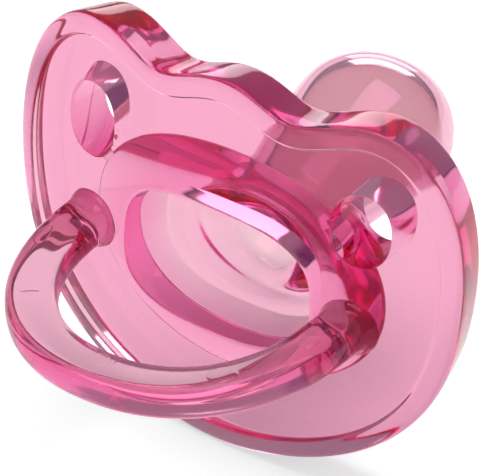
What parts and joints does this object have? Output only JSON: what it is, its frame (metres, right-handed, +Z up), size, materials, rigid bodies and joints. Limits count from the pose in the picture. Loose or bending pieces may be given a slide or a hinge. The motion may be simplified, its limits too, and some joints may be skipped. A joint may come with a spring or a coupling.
{
  "type": "pacifier",
  "caption": "One-piece clear silicone baby pacifier: curved shield with two air vents, hollow orthodontic teat behind, and a flexible D-shaped handle in front.",
  "frame": {"origin": "middle of the bounding box on the ground, under the shield standing upright on its lowest edge", "axes": "+X across the shield to the right seen from the handle side, -Y towards the handle, +Z up towards the nose notch"},
  "size_m": [0.0468, 0.0476, 0.0359],
  "materials": {
    "silicone": "clear pink silicone rubber, glossy"
  },
  "bodies": {
    "shield_body": {"shield": "silicone", "teat_base": "silicone", "teat_neck": "silicone", "handle_root_left": "silicone", "handle_root_right": "silicone"},
    "teat": {"teat_bulb": "silicone"},
    "handle": {"handle_loop": "silicone"}
  },
  "joints": [
    {"name": "handle_flex", "type": "hinge", "parent": "shield_body", "child": "handle", "pos_m": [0, -0.00605, 0.01683], "axis": [1, 0, 0], "range_deg": [-25, 45], "stiffness_Nm_per_rad": 0.02},
    {"name": "teat_bend", "type": "hinge", "parent": "shield_body", "child": "teat", "pos_m": [0, 0.00215, 0.01823], "axis": [1, 0, 0], "range_deg": [-15, 15], "stiffness_Nm_per_rad": 0.03}
  ]
}
